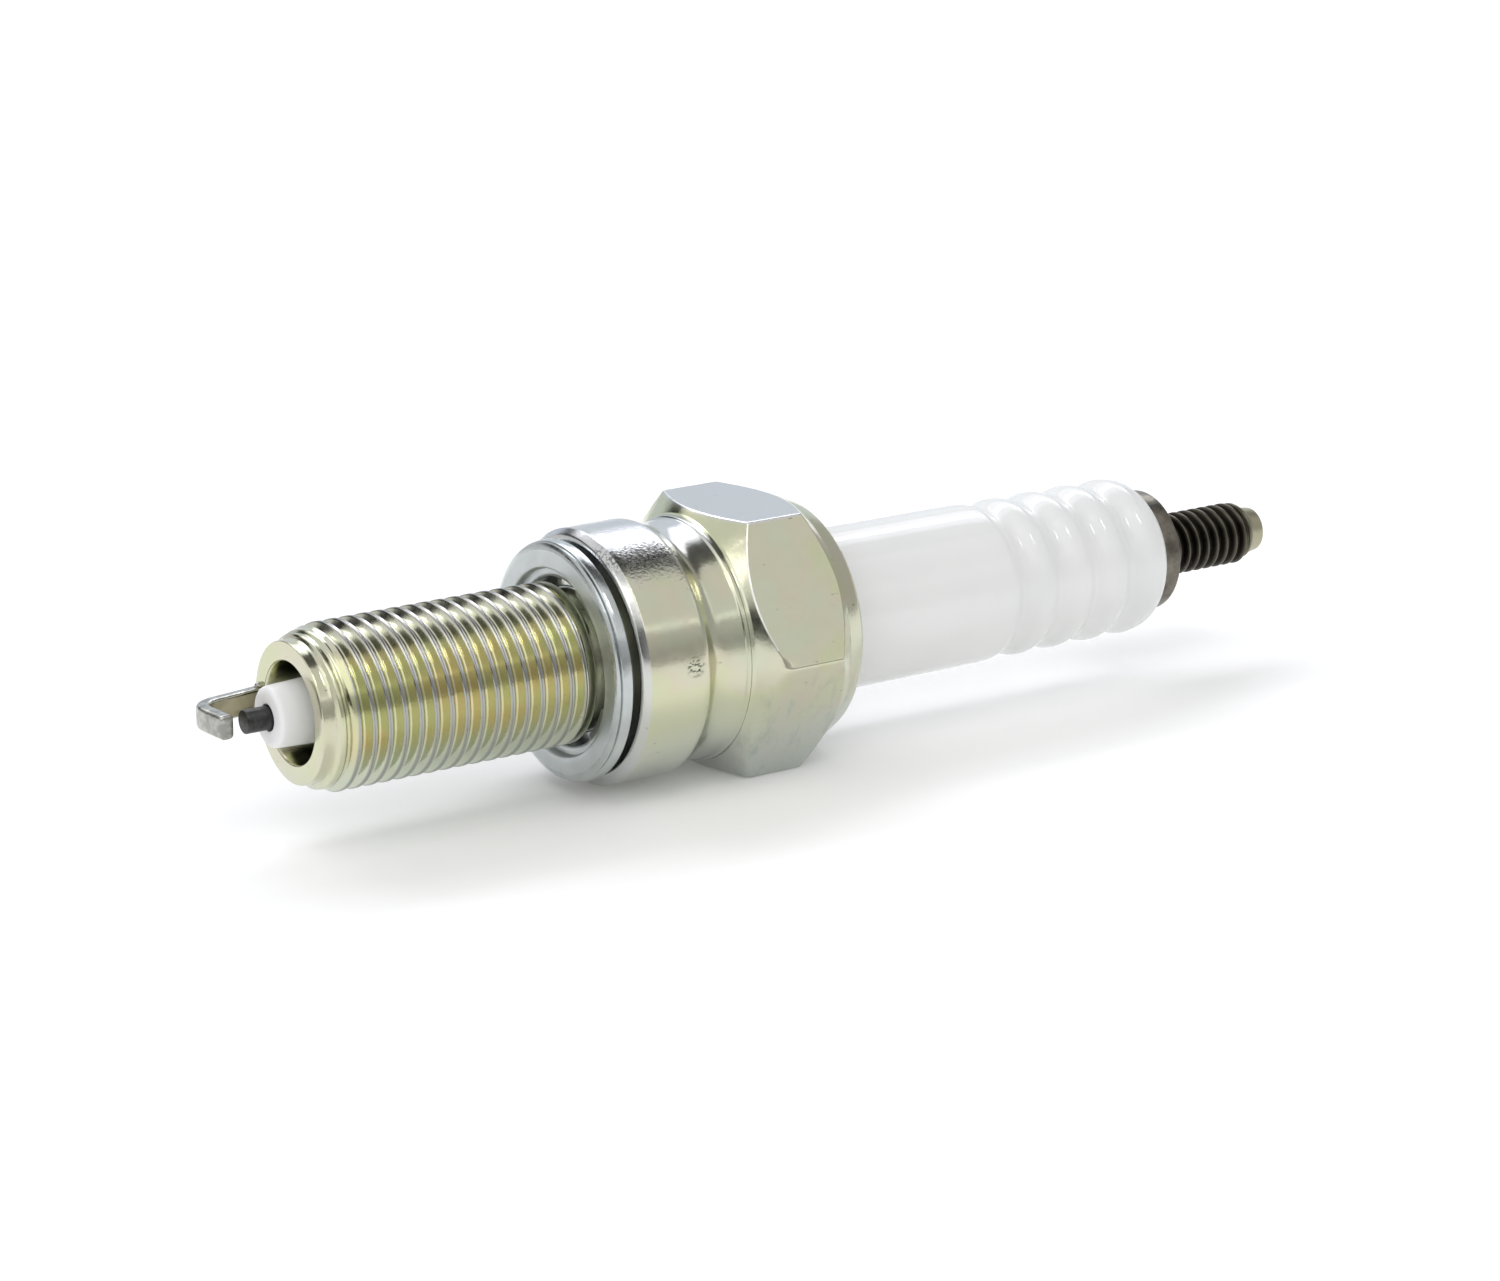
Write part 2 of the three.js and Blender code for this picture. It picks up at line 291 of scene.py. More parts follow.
# ---- Material helpers ----
class Look:
    """Short names for building one node material in the piece's own coordinates."""

    def __init__(self, name):
        self.material = bpy.data.materials.new(name)
        self.material.use_nodes = True
        self.tree = self.material.node_tree
        self.shader = self.tree.nodes["Principled BSDF"]
        self.place = self.tree.nodes.new("ShaderNodeTexCoord").outputs["Object"]

    def link(self, a, b):
        self.tree.links.new(a, b)

    def set(self, **values):
        for name, value in values.items():
            self.shader.inputs[name.replace("_", " ")].default_value = value

    def stretched(self, scale):
        node = self.tree.nodes.new("ShaderNodeMapping")
        node.inputs["Scale"].default_value = scale
        self.link(self.place, node.inputs["Vector"])
        return node.outputs["Vector"]

    def noise(self, per_mm, detail=4, roughness=0.55, stretch=None):
        node = self.tree.nodes.new("ShaderNodeTexNoise")
        node.inputs["Scale"].default_value = per_mm / MM
        node.inputs["Detail"].default_value = detail
        node.inputs["Roughness"].default_value = roughness
        self.link(self.stretched(stretch) if stretch else self.place, node.inputs["Vector"])
        return node.outputs["Fac"]

    def ramp(self, fac, stops):
        node = self.tree.nodes.new("ShaderNodeValToRGB")
        ramp = node.color_ramp
        ramp.interpolation = "EASE"
        while len(ramp.elements) < len(stops):
            ramp.elements.new(1.0)
        for element, (position, color) in zip(ramp.elements, stops):
            element.position = position
            element.color = (*color, 1)
        self.link(fac, node.inputs["Fac"])
        return node.outputs["Color"]

    def math(self, kind, a, b=0.0, c=0.0):
        node = self.tree.nodes.new("ShaderNodeMath")
        node.operation = kind
        for socket, value in zip(node.inputs, (a, b, c)):
            if isinstance(value, (int, float)):
                socket.default_value = value
            else:
                self.link(value, socket)
        return node.outputs[0]

    def between(self, value, low, high, out_low=0.0, out_high=1.0):
        node = self.tree.nodes.new("ShaderNodeMapRange")
        node.inputs["From Min"].default_value = low
        node.inputs["From Max"].default_value = high
        node.inputs["To Min"].default_value = out_low
        node.inputs["To Max"].default_value = out_high
        self.link(value, node.inputs["Value"])
        return node.outputs["Result"]

    def product(self, *factors):
        result = factors[0]
        for factor in factors[1:]:
            result = self.math("MULTIPLY", result, factor)
        return result

    def mix(self, fac, a, b):
        node = self.tree.nodes.new("ShaderNodeMix")
        node.data_type = "RGBA"
        inputs = {s.name: s for s in node.inputs if s.enabled}
        for key, value in (("Factor", fac), ("A", a), ("B", b)):
            if isinstance(value, (int, float)):
                inputs[key].default_value = value
            elif isinstance(value, tuple):
                inputs[key].default_value = (*value, 1)
            else:
                self.link(value, inputs[key])
        return next(s for s in node.outputs if s.enabled)

    def parts(self):
        node = self.tree.nodes.new("ShaderNodeSeparateXYZ")
        self.link(self.place, node.inputs[0])
        return node.outputs

    def along(self):
        """Millimetres along the plug's axis."""
        return self.math("DIVIDE", self.parts()["X"], MM)

    def across(self):
        """Millimetres to the side, along Y."""
        return self.math("DIVIDE", self.parts()["Y"], MM)

    def height(self):
        """Millimetres above the plug's axis."""
        return self.math("DIVIDE", self.parts()["Z"], MM)

    def radius(self):
        """Millimetres out from the plug's axis."""
        parts = self.parts()
        squares = self.math("MULTIPLY", parts["Y"], parts["Y"])
        squares = self.math("MULTIPLY_ADD", parts["Z"], parts["Z"], squares)
        return self.math("DIVIDE", self.math("SQRT", squares), MM)

    def near(self, point_mm, reach_mm):
        """1 at a point of the piece, falling to 0 at a distance from it."""
        node = self.tree.nodes.new("ShaderNodeVectorMath")
        node.operation = "DISTANCE"
        node.inputs[1].default_value = [value * MM for value in point_mm]
        self.link(self.place, node.inputs[0])
        return self.between(node.outputs["Value"], reach_mm * MM, 0)

    def bump(self, height, depth_mm, previous=None):
        node = self.tree.nodes.new("ShaderNodeBump")
        node.inputs["Strength"].default_value = 1.0
        node.inputs["Distance"].default_value = depth_mm * MM
        self.link(height, node.inputs["Height"])
        if previous:
            self.link(previous, node.inputs["Normal"])
        return node.outputs["Normal"]

    def finish(self, color, roughness, normal):
        self.link(color, self.shader.inputs["Base Color"])
        self.link(roughness, self.shader.inputs["Roughness"])
        self.link(normal, self.shader.inputs["Normal"])
        return self.material


def plated_steel():
    """Pale yellow-green passivated steel: soft olive, green and pink films, gold on the thread's flanks, with
    painted reflections on top, below and along the thread.
    """
    look = Look("plated_steel")
    look.set(Metallic=1.0)
    color = plated_films_and_painted_reflection(look)
    color = plated_thread_tints_and_painted_reflection(look, color)
    color = plated_marks_and_painted_shading(look, color)
    roughness = look.between(look.noise(1.3, 6), 0.3, 0.7, 0.12, 0.21)
    on_collar = look.product(look.between(look.along(), 0.5, 1.0), look.between(look.along(), 4.9, 4.3))
    near_top = look.between(look.height(), 4.0, 6.2)
    grain = look.product(look.noise(5.0, 3, 0.6), look.product(on_collar, near_top))
    normal = look.bump(grain, 0.024)
    normal = look.bump(look.noise(5.0, 4, 0.6), 0.0035, normal)
    normal = look.bump(look.noise(0.9, 3, 0.5), 0.008, normal)
    return look.finish(color, roughness, normal)


def plated_films_and_painted_reflection(look):
    """The film's colours: olive with green and pink drifts, with painted reflection: silver on top and on the
    seat bevel, grey-green below.
    """
    film = look.ramp(look.noise(0.16, 2), [
        (0.36, (0.60, 0.62, 0.43)),
        (0.46, (0.61, 0.62, 0.42)),
        (0.54, (0.63, 0.60, 0.46)),
        (0.64, (0.60, 0.62, 0.47)),
    ])
    cloud = look.between(look.noise(0.8, 5), 0.35, 0.65)
    color = look.mix(look.product(cloud, 0.3), film, (0.64, 0.64, 0.52))
    # painted reflection: the collar's top and the hexagon's top flat are made silvery, the underside
    # grey-green
    collar_top = look.between(look.height(), 5.4, 7.3)
    top_flat = look.between(look.height(), 7.8, 7.95)
    on_hexagon = look.between(look.along(), 7.5, 7.7)
    upper = look.math("MULTIPLY_ADD", look.math("SUBTRACT", top_flat, collar_top), on_hexagon, collar_top)
    lower = look.between(look.height(), -2.5, -7.0)
    color = look.mix(look.product(upper, 0.85), color, (0.64, 0.65, 0.68))
    color = look.mix(look.product(lower, 0.7), color, (0.59, 0.63, 0.60))
    # painted highlight: the seat bevel at the collar's front is made silvery
    seat = look.product(look.between(look.along(), -0.4, -0.3), look.between(look.along(), 0.45, 0.4))
    return look.mix(look.product(seat, 0.7), color, (0.63, 0.64, 0.66))


def plated_thread_tints_and_painted_reflection(look, color):
    """Gold film on the thread's flanks, with painted reflection: the gold deepest on the near lower side,
    paler and lighter higher up; rolled crests in grey, darker lower down as painted shade.
    """
    on_barrel = look.between(look.along(), CORNER_X - 2.3, CORNER_X - 2.7)
    past_pilot = look.between(look.along(), CORNER_X - 18.2, CORNER_X - 17.8)
    on_thread = look.product(on_barrel, past_pilot)
    flank = look.product(look.between(look.radius(), 4.88, 4.82), on_thread)
    crest = look.math("SUBTRACT", on_thread, flank)
    gold = look.ramp(look.noise(0.25, 2), [(0.4, (0.66, 0.60, 0.36)), (0.6, (0.61, 0.62, 0.38))])
    # painted reflection: the flanks are paler higher up and gold on the near lower side
    pale = look.mix(look.between(look.height(), -2.0, 2.0), (0.58, 0.62, 0.50), (0.66, 0.66, 0.54))
    near_side = look.product(look.between(look.across(), -2.0, -3.4), look.between(look.height(), -3.0, -1.2))
    color = look.mix(look.product(flank, 0.92), color, look.mix(near_side, pale, gold))
    # painted shade: the crests' grey darkens lower down
    rolled = look.mix(look.between(look.height(), -1.5, 2.5), (0.33, 0.35, 0.33), (0.40, 0.40, 0.40))
    return look.mix(look.product(crest, 0.85), color, rolled)


def plated_marks_and_painted_shading(look, color):
    """Dark nicks, painted shade on the lower side, grey stains low on the hexagon, dark specks on the
    collar's top as a painted dark reflection, and a scuff at its rear edge.
    """
    nick = look.between(look.noise(2.6, 4, 0.6, (0.3, 1.0, 1.0)), 0.69, 0.72)
    color = look.mix(look.product(nick, 0.5), color, (0.14, 0.14, 0.11))
    # painted shade: the shell darker and greyer on its lower side from the collar's front back
    shaded = look.product(look.between(look.height(), -1.0, -6.5), look.between(look.along(), -1.0, 0.5))
    color = look.mix(look.product(shaded, 0.45), color, (0.46, 0.50, 0.50))
    low_hexagon = look.product(look.between(look.along(), 7.0, 8.0), look.between(look.height(), 0.5, -3.0))
    stain = look.between(look.noise(1.1, 6, 0.75, (1.0, 0.6, 0.4)), 0.5, 0.68)
    color = look.mix(look.product(stain, low_hexagon, 0.5), color, (0.34, 0.38, 0.36))
    # painted reflection: dark specks in the band where the collar's top mirrors a dark part of the studio
    painted_dark_reflection_band = look.product(
        look.between(look.height(), 6.1, 6.6),
        look.between(look.height(), 7.55, 7.1),
        look.between(look.across(), -1.5, -2.2),
        look.between(look.along(), 5.0, 4.4),
    )
    dark_speck = look.between(look.noise(5.0, 4, 0.7), 0.52, 0.58)
    color = look.mix(look.product(dark_speck, painted_dark_reflection_band, 0.75), color, (0.14, 0.14, 0.12))
    scuff = look.between(look.near((3.45, -7.75, 0.85), 0.8), 0.1, 0.5)
    ragged = look.between(look.noise(2.6, 6, 0.8, (1.0, 1.7, 1.7)), 0.5, 0.55)
    return look.mix(look.product(scuff, ragged), color, (0.05, 0.05, 0.04))


def zinc_steel():
    """Bluish zinc on the folded gasket, smooth with faint rolling marks."""
    look = Look("zinc_steel")
    look.set(Metallic=1.0)
    color = look.ramp(look.noise(0.5, 4), [(0.35, (0.50, 0.53, 0.53)), (0.65, (0.57, 0.60, 0.60))])
    face = look.between(look.radius(), 6.85, 6.6)
    roughness = look.between(look.noise(2.0, 5), 0.3, 0.7, 0.15, 0.26)
    roughness = look.math("MULTIPLY_ADD", face, 0.2, roughness)
    normal = look.bump(look.noise(4.0, 4), 0.004)
    normal = look.bump(look.noise(1.0, 3), 0.006, normal)
    return look.finish(color, roughness, normal)


def glazed_alumina():
    """White alumina: glossy glaze outside, matt bisque on the nose inside the barrel."""
    look = Look("glazed_alumina")
    look.set(IOR=1.52)
    nose = look.between(look.along(), 2.0, 1.5)
    color = look.ramp(look.noise(0.12, 3), [(0.35, (0.79, 0.80, 0.79)), (0.65, (0.82, 0.825, 0.815))])
    color = look.mix(nose, color, (0.84, 0.84, 0.84))
    fine = look.between(look.noise(1.5, 4), 0.3, 0.7, 0.06, 0.12)
    roughness = look.math("MULTIPLY_ADD", nose, 0.38, fine)
    normal = look.bump(look.noise(0.7, 2), 0.012)
    return look.finish(color, roughness, normal)


def nickel_alloy():
    """Satin nickel strap, silvery outside and straw-coloured on its inner face."""
    look = Look("nickel_alloy")
    look.set(Metallic=1.0)
    base = look.ramp(look.noise(1.2, 5), [(0.35, (0.30, 0.30, 0.28)), (0.65, (0.50, 0.50, 0.46))])
    roughness = look.between(look.noise(3.0, 5), 0.3, 0.7, 0.16, 0.28)
    normal = look.bump(look.noise(2.0, 3, 0.5), 0.03)
    normal = look.bump(look.noise(5.0, 5, 0.6), 0.006, normal)
    return look.finish(base, roughness, normal)


def worn_edge_and_painted_highlight():
    """Bright bare steel where the hexagon's edges have been rubbed, kept to the upper edges as a painted
    highlight.
    """
    look = Look("worn_edge_and_painted_highlight")
    look.set(Metallic=1.0)
    base = look.ramp(look.noise(1.5, 4), [(0.35, (0.72, 0.72, 0.68)), (0.6, (0.88, 0.88, 0.88))])
    roughness = look.between(look.noise(3.0, 4), 0.3, 0.7, 0.24, 0.4)
    return look.finish(base, roughness, look.bump(look.noise(5.0, 4), 0.006))


def strap_inner():
    """The straw tint that the passivation leaves on the strap's inner face."""
    look = Look("nickel_straw")
    look.set(Metallic=1.0)
    base = look.ramp(look.noise(1.2, 5), [(0.3, (0.50, 0.47, 0.29)), (0.7, (0.60, 0.54, 0.40))])
    roughness = look.between(look.noise(3.0, 5), 0.3, 0.7, 0.3, 0.45)
    normal = look.bump(look.noise(5.0, 5, 0.6), 0.01)
    return look.finish(base, roughness, normal)


def dark_nickel():
    """Graphite-grey centre electrode with a fired bloom."""
    look = Look("dark_nickel")
    look.set(Metallic=0.85)
    base = look.ramp(look.noise(1.5, 5), [(0.3, (0.035, 0.036, 0.037)), (0.7, (0.075, 0.075, 0.075))])
    roughness = look.between(look.noise(4.0, 5), 0.3, 0.7, 0.3, 0.5)
    normal = look.bump(look.noise(6.0, 5), 0.01)
    return look.finish(base, roughness, normal)


def dark_steel():
    """Brown-grey terminal: dull flange, blackened thread darker towards its roots as painted shade, and a
    pale worn tip.
    """
    look = Look("dark_steel")
    look.set(Metallic=1.0)
    base = look.ramp(look.noise(1.0, 5), [(0.3, (0.12, 0.11, 0.09)), (0.7, (0.22, 0.20, 0.165))])
    flange_back = CORNER_X + FLANGE_BACK_X
    thread = look.between(look.along(), flange_back + 0.05, flange_back + 0.25)
    tip = look.between(look.along(), CORNER_X + 50.6, CORNER_X + 51.1)
    # painted shade: the thread darkens to near black at its roots
    root = look.between(look.radius(), 2.0, 1.85)
    dark = look.mix(root, (0.11, 0.10, 0.08), (0.015, 0.013, 0.01))
    base = look.mix(thread, base, dark)
    base = look.mix(tip, base, (0.40, 0.38, 0.27))
    roughness = look.between(look.noise(3.0, 5), 0.3, 0.7, 0.26, 0.42)
    normal = look.bump(look.noise(5.0, 4), 0.008)
    return look.finish(base, roughness, normal)


def plain_look(name, colors, metallic, rough, per_mm, depth):
    """A hidden inner material with grain at its own scale."""
    dark, light = colors
    look = Look(name)
    look.set(Metallic=metallic)
    base = look.ramp(look.noise(per_mm, 5), [(0.3, dark), (0.7, light)])
    roughness = look.between(look.noise(per_mm * 2, 5), 0.3, 0.7, rough - 0.06, rough + 0.06)
    return look.finish(base, roughness, look.bump(look.noise(per_mm * 3, 4), depth))


# ---- Pieces ----
def nose_profile():
    return rounded([
        (NOSE_X + 0.15, NOSE_BORE_R, 0),
        (NOSE_X, NOSE_BORE_R + 0.1, 0.06),
        (NOSE_X, PILOT_R - 0.02, 0.09),
        (BARREL_THREAD["start"], PILOT_R, 0),
    ])


def barrel_envelope():
    """How far out the thread may reach: a tapered start behind the pilot and a plain land at the back."""
    full = BARREL_THREAD["crest"] + 0.01
    return [
        (BARREL_THREAD["start"], PILOT_R),
        (-18.5, 4.58),
        (-17.85, 4.68),
        (-17.5, full),
        (-3.4, full),
        (BARREL_THREAD["end"], LAND_R),
    ]


def collar_profile():
    """From the end of the thread over the shank, the seat, the collar and the neck to the hexagon's foot."""
    return rounded([
        (BARREL_THREAD["end"], LAND_R, 0),
        (LAND_END_X, LAND_R, 0.1),
        (LAND_END_X + 0.1, SHANK_R, 0.05),
        (SEAT_X, SHANK_R, 0.2),
        (SEAT_X, 7.17, 0.05),
        (-0.26, 7.42, 0.1),
        (0.08, 7.76, 0.03),
        (0.12, 7.79, 0.02),
        (3.95, COLLAR_R, 0.35),
        (4.6, 7.42, 0.5),
        (5.4, NECK_R, 0.8),
        (6.9, 7.36, 0.3),
        (6.98, BEAD_R, 0.06),
        (7.22, BEAD_R, 0.06),
        (*HEX_FOOT, 0),
    ])


def bore_profile():
    """The rolled rim and the bores behind it, from the back of the hexagon to the nose."""
    return rounded([
        (*RIM_SHOULDER, 0),
        (15.4, 7.3, 0.5),
        (RIM_X, 6.8, 0.5),
        (RIM_X, 5.7, 0.3),
        (15.5, LIP_R, 0.2),
        (15.1, LIP_R, 0.1),
        (14.5, CAVITY_R, 0),
        (3.05, CAVITY_R, 0.3),
        (0.6, MAIN_BORE_R, 0.3),
        (-7.2, MAIN_BORE_R, 0),
        (-7.9, NOSE_BORE_R, 0),
        (NOSE_X + 0.15, NOSE_BORE_R, 0),
    ])


def shell_piece(material, edge_material):
    angles = hexagon_angles()
    lines = thread_lines(BARREL_THREAD, BARREL_CREST_FLAT, CREST_SEAM)
    sides = [hexagon_profile(a) for a in angles]
    grids = [
        revolve(split(nose_profile()), angles),
        thread_rows(BARREL_THREAD, barrel_envelope(), angles, lines),
        revolve(split(collar_profile()), angles),
        rows_of_profiles(sides, angles),
        revolve(split(bore_profile(), 1.5), angles),
    ]
    obj = mesh_from_grids("shell_fine", grids)
    finish_piece(obj, material, "plug", "metal_shell")
    obj.data.materials.append(edge_material)
    for face in obj.data.polygons:
        face.material_index = int(on_hexagon_edge(face))


def on_hexagon_edge(face):
    """True for the bright strips of the upper hexagon, at its corners and where its flats meet the cone:
    rubbed steel with a painted highlight.
    """
    x = face.center.x / MM - CORNER_X
    on_hexagon = 7.55 < x < 13.2 and face.center.yz.length >= 7.7 * MM
    # painted highlight: only the upper half gets the bright strips, on top of the rubbed wear
    if not on_hexagon or face.center.z < 1.0 * MM:
        return False
    if abs(face.normal.x) > 0.1:
        return -0.6 < face.normal.x < 0
    sixth = math.radians(60)
    turn = math.atan2(face.normal.z, face.normal.y)
    from_flat = abs(turn % sixth - sixth / 2)
    return from_flat > math.radians(8)


def hexagon_radius(angle):
    """Distance from the axis to the hexagon's side, corners rounded. Corners lie at 0, 60, ... degrees."""
    sixth = math.radians(60)
    from_corner = abs((angle + sixth / 2) % sixth - sixth / 2)
    centre = (FLAT_R - CORNER_RADIUS) / math.cos(sixth / 2)
    flat = FLAT_R / math.cos(sixth / 2 - from_corner)
    inside_arc = CORNER_RADIUS**2 - (centre * math.sin(from_corner)) ** 2
    if inside_arc <= 0:
        return flat
    arc = centre * math.cos(from_corner) + math.sqrt(inside_arc)
    tangent = sixth / 2 - math.atan((FLAT_R - CORNER_RADIUS) * math.tan(sixth / 2) / FLAT_R)
    return arc if from_corner < tangent else flat


def hexagon_profile(angle):
    """The hexagon's outline at one angle: front cone, side, rear cone, with small bevels between."""
    radius = hexagon_radius(angle)
    foot_x, foot_r = HEX_FOOT
    shoulder_x, shoulder_r = RIM_SHOULDER
    front_x = np.interp(radius, (foot_r, 9.24), (foot_x, 8.85))
    rear_x = np.interp(-radius, (-9.24, -FLAT_R, -shoulder_r), (12.65, 13.75, shoulder_x))
    upper_half = math.sin(angle) > 0.05
    return rounded([
        (foot_x, foot_r, 0),
        (7.5, 7.655, 0.03),
        (front_x, radius, 0.1 if upper_half else 0.4),
        (front_x + (rear_x - front_x) * 0.33, radius, 0.02),
        (front_x + (rear_x - front_x) * 0.67, radius, 0.02),
        (rear_x, radius, 0.1),
        (14.15, 7.84, 0.02),
        (shoulder_x, shoulder_r, 0),
    ], 4)


def gasket_lip(angle):
    """Inner radius of the gasket: wide open, with four short tabs that keep it on the thread."""
    tab_half = math.radians(14)
    quarter = math.radians(90)
    from_tab = abs((angle - math.radians(36) + quarter / 2) % quarter - quarter / 2)
    return 4.8 if from_tab < tab_half else 5.12


def gasket_profile(angle):
    """The folded ring's section: open lip, sloping front face, two folds and a flat back."""
    rim = GASKET_HIGH.z
    lip = gasket_lip(angle)
    return split(rounded([
        (-1.25, lip, 0),
        (-1.4, lip, 0.08),
        (-1.5, 5.3, 0.1),
        (-1.48, 5.6, 0.03),
        (-1.66, 5.62, 0.04),
        (-1.92, 5.72, 0.1),
        (GASKET_FRONT_X, 5.98, 0.25),
        (-1.89, 6.74, 0.06),
        (-1.82, 6.96, 0.08),
        (-1.7, 7.18, 0.05),
        (-1.62, 7.02, 0.02),
        (-1.54, 7.24, 0.06),
        (-1.3, rim, 0.08),
        (-0.95, rim, 0.08),
        (GASKET_BACK_X, 7.12, 0.1),
        (GASKET_BACK_X, 5.5, 0.2),
        (-1.0, 5.2, 0.1),
        (-1.08, lip, 0.06),
        (-1.25, lip, 0),
    ]), 0.3)


def gasket_piece(material):
    angles = even_angles(180)
    rows = rows_of_profiles([gasket_profile(a) for a in angles], angles)
    obj = mesh_from_grids("gasket_fine", [rows])
    finish_piece(obj, material, "gasket", "seat_gasket")


def rib_wave(samples=20):
    """The ribs' wavy outline, from half a pitch before the first groove to half a pitch after the last."""
    wave = []
    for i in range(RIB_COUNT * samples + 1):
        turn = i / samples
        depth = GROOVE_DEPTH * (0.5 - 0.5 * math.cos(turn * FULL_TURN)) ** GROOVE_SHARPNESS
        wave.append((FIRST_GROOVE_X - RIB_PITCH / 2 + turn * RIB_PITCH, RIB_R - depth))
    return wave


def insulator_piece(material):
    front = rounded([
        (NOSE_HOLE_BACK_X, NOSE_HOLE_R, 0),
        (INSULATOR_TIP_X, NOSE_HOLE_R, 0.05),
        (INSULATOR_TIP_X, 1.8, 0.35),
        (-9.0, 2.3, 0.5),
        (-7.75, 2.44, 0.3),
        (-6.79, TUBE_R, 0.2),
        (1.2, TUBE_R, 0.3),
        (3.55, BODY_R, 0.3),
        (9.6, BODY_R, 0.2),
        (10.3, NECK_TUBE_R, 0.2),
        (28.0, 5.07, 0),
    ])
    wave = rib_wave()
    rear = rounded([
        (*wave[-1], 0),
        (41.0, 4.86, 0.6),
        (INSULATOR_END_X, 4.2, 0.25),
        (INSULATOR_END_X, CORE_BORE_R, 0),
        (-7.6, CORE_BORE_R, 0),
        (NOSE_HOLE_BACK_X, NOSE_HOLE_R, 0),
    ])
    profile = split(front, 0.8) + wave + split(rear, 0.8)[1:]
    obj = mesh_from_grids("insulator_fine", [revolve(profile, even_angles(128))])
    finish_piece(obj, material, "plug", "insulator")


def electrode_piece(material):
    profile = rounded([
        (ELECTRODE_TIP_X, 0.0, 0),
        (ELECTRODE_TIP_X, ELECTRODE_R, 0.08),
        (-8.1, ELECTRODE_R, 0.1),
        (-7.55, ELECTRODE_HEAD_R, 0.1),
        (ELECTRODE_BACK_X, ELECTRODE_HEAD_R, 0.1),
        (ELECTRODE_BACK_X, CORE_R, 0),
        (CORE_TIP_X, CORE_R, 0),
        (CORE_TIP_X, 0.0, 0),
    ])
    obj = mesh_from_grids("centre_electrode_fine", [revolve(split(profile, 0.4), even_angles(64))])
    finish_piece(obj, material, "plug", "center_electrode_sheath")


def stud_piece(material):
    angles = even_angles(96)
    rim = STUD_HIGH.z
    start = (STUD_THREAD["start"], STUD_THREAD["root"])
    end = (STUD_THREAD["end"], STUD_TIP_R)
    before = rounded([
        (STUD_FRONT_X, 0.0, 0),
        (STUD_FRONT_X, 1.1, 0.1),
        (8.7, 1.1, 0),
        (9.1, STUD_ROD_R, 0),
        (FLANGE_FRONT_X, STUD_ROD_R, 0),
        (FLANGE_FRONT_X, rim, 0.1),
        (FLANGE_BACK_X, rim, 0.18),
        (FLANGE_BACK_X, 1.7, 0.1),
        (*start, 0),
    ])
    full = STUD_THREAD["crest"] + 0.01
    envelope = [start, (44.3, full), (50.6, full), end]
    lines = thread_lines(STUD_THREAD, STUD_CREST_FLAT, seam=0.0)
    after = rounded([(*end, 0), (STUD_END_X, 1.42, 0.08), (STUD_END_X, 0.0, 0)])
    grids = [
        revolve(split(before, 0.8), angles),
        thread_rows(STUD_THREAD, envelope, angles, lines),
        revolve(split(after, 0.2), angles),
    ]
    obj = mesh_from_grids("terminal_fine", grids)
    finish_piece(obj, material, "plug", "terminal_stud")


def strap_path():
    """Centre line of the strap in the X-Y plane: leaning arm, wide bend, arm across the axis."""
    half = STRAP_THICKNESS / 2
    root = Vector((STRAP_WELD_X, STRAP_ROOT_Y - half, 0))
    end = Vector((STRAP_FRONT_X + half + 0.01, STRAP_LOW.y, 0))
    corner_y = root.y + STRAP_LEAN * (end.x - 0.3 - root.x)
    corner = Vector((end.x - STRAP_SPLAY * (corner_y - end.y), corner_y, 0))
    start_bend = corner + (root - corner).normalized() * STRAP_BEND
    end_bend = corner + (end - corner).normalized() * STRAP_BEND
    points = [root.lerp(start_bend, i / 8) for i in range(8)]
    for i in range(11):
        t = i / 10
        points.append(start_bend.lerp(corner, t).lerp(corner.lerp(end_bend, t), t))
    points += [end_bend.lerp(end, i / 8) for i in range(1, 9)]
    return points


def rounded_section(width, height, radius, steps=4):
    """Outline of a rounded rectangle round (0, 0), closed on itself."""
    outline = []
    corners = ((1, 1, 0), (-1, 1, 90), (-1, -1, 180), (1, -1, 270))
    for sx, sy, start in corners:
        for i in range(steps + 1):
            a = math.radians(start + 90 * i / steps)
            outline.append((
                sx * (width / 2 - radius) + radius * math.cos(a),
                sy * (height / 2 - radius) + radius * math.sin(a),
            ))
    return outline + outline[:1]


def weld_bead(centre, half_sizes, steps=18):
    """A lumpy bead of weld metal, as rows of points from pole to pole along Z."""
    rows = []
    for i in range(steps + 1):
        tilt = math.pi * (i / steps - 0.5)
        row = []
        for angle in even_angles(steps):
            flat = math.cos(tilt)
            way = Vector((flat * math.cos(angle), flat * math.sin(angle), math.sin(tilt)))
            lump = 0.9 + 0.1 * noise.noise(way * 2.3 + Vector(centre))
            spot = Vector(c + h * w * lump for c, h, w in zip(centre, half_sizes, way))
            row.append((spot + Vector((CORNER_X, 0, 0))) * MM)
        rows.append(row)
    return rows


def strap_row(middle, side, shrink=0.0):
    """The strap's rounded section round one point of its centre line, made smaller all round by shrink."""
    section = rounded_section(STRAP_THICKNESS - 2 * shrink, STRAP_WIDTH - 2 * shrink, STRAP_ROUNDING - shrink)
    shift = Vector((CORNER_X, 0, 0))
    return [(middle + shift + side * across + Vector((0, 0, height))) * MM for across, height in section]


def strap_grid():
    """The strap from its weld to its rounded end."""
    points = strap_path()
    sides = []
    for i in range(len(points)):
        ahead = points[min(i + 1, len(points) - 1)] - points[max(i - 1, 0)]
        sides.append(Vector((ahead.y, -ahead.x, 0)).normalized())
    grid = [strap_row(point, side) for point, side in zip(points[:-1], sides)]
    end_length = 0.13
    for step, shrink in ((0.0, 0.0), (0.05, 0.02), (0.1, 0.06), (end_length, 0.12)):
        place = points[-1] + Vector((0, end_length - step, 0))
        grid.append(strap_row(place, sides[-1], shrink))
    return grid


